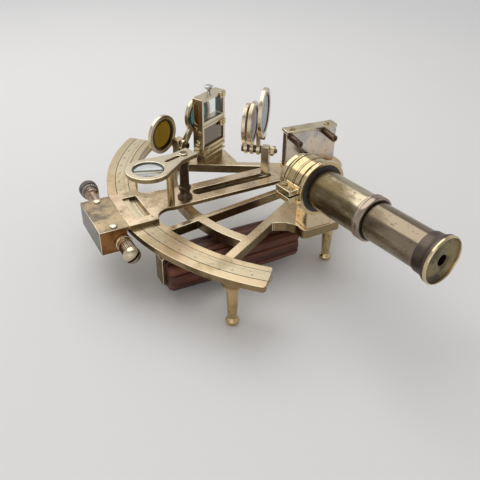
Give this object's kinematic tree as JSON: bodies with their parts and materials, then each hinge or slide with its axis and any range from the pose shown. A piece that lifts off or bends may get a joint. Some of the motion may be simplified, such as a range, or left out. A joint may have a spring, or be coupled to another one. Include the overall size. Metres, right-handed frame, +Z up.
{
  "type": "marine sextant",
  "caption": "Brass marine sextant on three legs, with a swinging index arm, folding sun shades, mirrors, magnifier, wooden handle and a telescope.",
  "frame": {"origin": "on the surface the legs stand on, under the middle of the footprint", "axes": "+Z up; the index arm at mid-arc runs along -Y from its pivot; the telescope looks towards -X"},
  "size_m": [0.269, 0.1896, 0.1071],
  "materials": {
    "brass": "aged satin, polished on the edges",
    "bright_brass": "polished",
    "dark_brass": "dark patina",
    "scale": "silvered, brushed, engraved divisions",
    "steel": "blued, straight knurl",
    "rosewood": "oiled",
    "mirror": "silvered glass",
    "clear_glass": "clear",
    "amber_glass": "tinted",
    "teal_glass": "tinted",
    "smoke_glass": "tinted"
  },
  "bodies": {
    "frame": {"frame": "brass", "limb": "brass", "scale_arc": "scale", "leg_right": "brass", "leg_left": "brass", "leg_lug": "brass", "handle": "rosewood", "handle_brackets": "brass", "horizon_base": "brass", "horizon_frame": "brass", "horizon_mirror": "mirror", "horizon_clear_glass": "clear_glass", "horizon_clips": "bright_brass", "horizon_shade_post": "brass", "horizon_shade_axle": "dark_brass", "telescope_post": "brass", "telescope_collar": "bright_brass", "collar_screws": "bright_brass", "telescope_tube": "brass", "objective_cell": "bright_brass", "objective_lens": "clear_glass"},
    "index_arm": {"index_arm": "brass", "vernier": "scale", "centre_pin": "dark_brass", "pivot_washer": "brass", "tangent_cover": "brass", "clamp_carrier": "brass", "cover_pins": "bright_brass", "magnifier_pillar": "dark_brass", "magnifier_nut": "bright_brass", "magnifier_rest": "bright_brass", "index_mirror_base": "brass", "index_mirror_frame": "brass", "index_mirror": "mirror", "index_mirror_lip": "brass", "index_mirror_screws": "dark_brass", "index_shade_post": "brass", "index_shade_axle": "dark_brass"},
    "tangent_screw": {"tangent_screw": "brass", "tangent_knob": "steel"},
    "clamp_screw": {"clamp_screw": "bright_brass"},
    "magnifier": {"magnifier_arm": "bright_brass", "magnifier_lens": "clear_glass"},
    "index_shade_1": {"index_shade_1": "bright_brass", "index_shade_glass_1": "smoke_glass"},
    "index_shade_2": {"index_shade_2": "bright_brass", "index_shade_glass_2": "amber_glass"},
    "index_shade_3": {"index_shade_3": "bright_brass", "index_shade_glass_3": "amber_glass"},
    "wing_nut": {"index_wing_nut": "bright_brass"},
    "horizon_shade_1": {"horizon_shade_1": "bright_brass", "horizon_shade_glass_1": "amber_glass"},
    "horizon_shade_2": {"horizon_shade_2": "bright_brass", "horizon_shade_glass_2": "teal_glass"},
    "thumb_screw": {"horizon_thumb_screw": "bright_brass"},
    "draw": {"draw_tube": "bright_brass", "eyepiece": "brass", "eye_lens": "clear_glass"}
  },
  "joints": [
    {"name": "index_arm_swing", "type": "hinge", "parent": "frame", "child": "index_arm", "pos_m": [-0.02654, 0.07372, 0.042], "axis": [0, 0, 1], "range_deg": [-18, 32]},
    {"name": "tangent_screw_turn", "type": "hinge", "parent": "index_arm", "child": "tangent_screw", "pos_m": [-0.02654, -0.08067, 0.0336], "axis": [1, 0, 0], "continuous": true},
    {"name": "clamp_screw_turn", "type": "hinge", "parent": "index_arm", "child": "clamp_screw", "pos_m": [-0.02654, -0.08067, 0.0336], "axis": [1, 0, 0], "range_deg": [-180, 180]},
    {"name": "magnifier_swing", "type": "hinge", "parent": "index_arm", "child": "magnifier", "pos_m": [-0.02334, -0.03047, 0.073], "axis": [0, 0, 1], "range_deg": [-50, 60]},
    {"name": "index_shade_1_fold", "type": "hinge", "parent": "index_arm", "child": "index_shade_1", "pos_m": [-0.02854, 0.03372, 0.0618], "axis": [-0.6561, -0.7547, 0], "range_deg": [0, 90]},
    {"name": "index_shade_2_fold", "type": "hinge", "parent": "index_arm", "child": "index_shade_2", "pos_m": [-0.02854, 0.03372, 0.0618], "axis": [-0.6561, -0.7547, 0], "range_deg": [0, 90]},
    {"name": "index_shade_3_fold", "type": "hinge", "parent": "index_arm", "child": "index_shade_3", "pos_m": [-0.02854, 0.03372, 0.0618], "axis": [-0.6561, -0.7547, 0], "range_deg": [0, 90]},
    {"name": "wing_nut_turn", "type": "hinge", "parent": "index_arm", "child": "wing_nut", "pos_m": [-0.02854, 0.03372, 0.0618], "axis": [-0.6561, -0.7547, 0], "range_deg": [-180, 180]},
    {"name": "horizon_shade_1_fold", "type": "hinge", "parent": "frame", "child": "horizon_shade_1", "pos_m": [-0.08474, -0.00838, 0.052], "axis": [0.8829, 0.4695, 0], "range_deg": [-90, 0]},
    {"name": "horizon_shade_2_fold", "type": "hinge", "parent": "frame", "child": "horizon_shade_2", "pos_m": [-0.08474, -0.00838, 0.052], "axis": [0.8829, 0.4695, 0], "range_deg": [0, 90]},
    {"name": "thumb_screw_turn", "type": "hinge", "parent": "frame", "child": "thumb_screw", "pos_m": [-0.08184, 0.01572, 0.09], "axis": [0, 0, 1], "range_deg": [-180, 180]},
    {"name": "draw_slide", "type": "slide", "parent": "frame", "child": "draw", "axis": [0.9907, 0.1357, 0], "range_m": [-0.025, 0.008]}
  ]
}
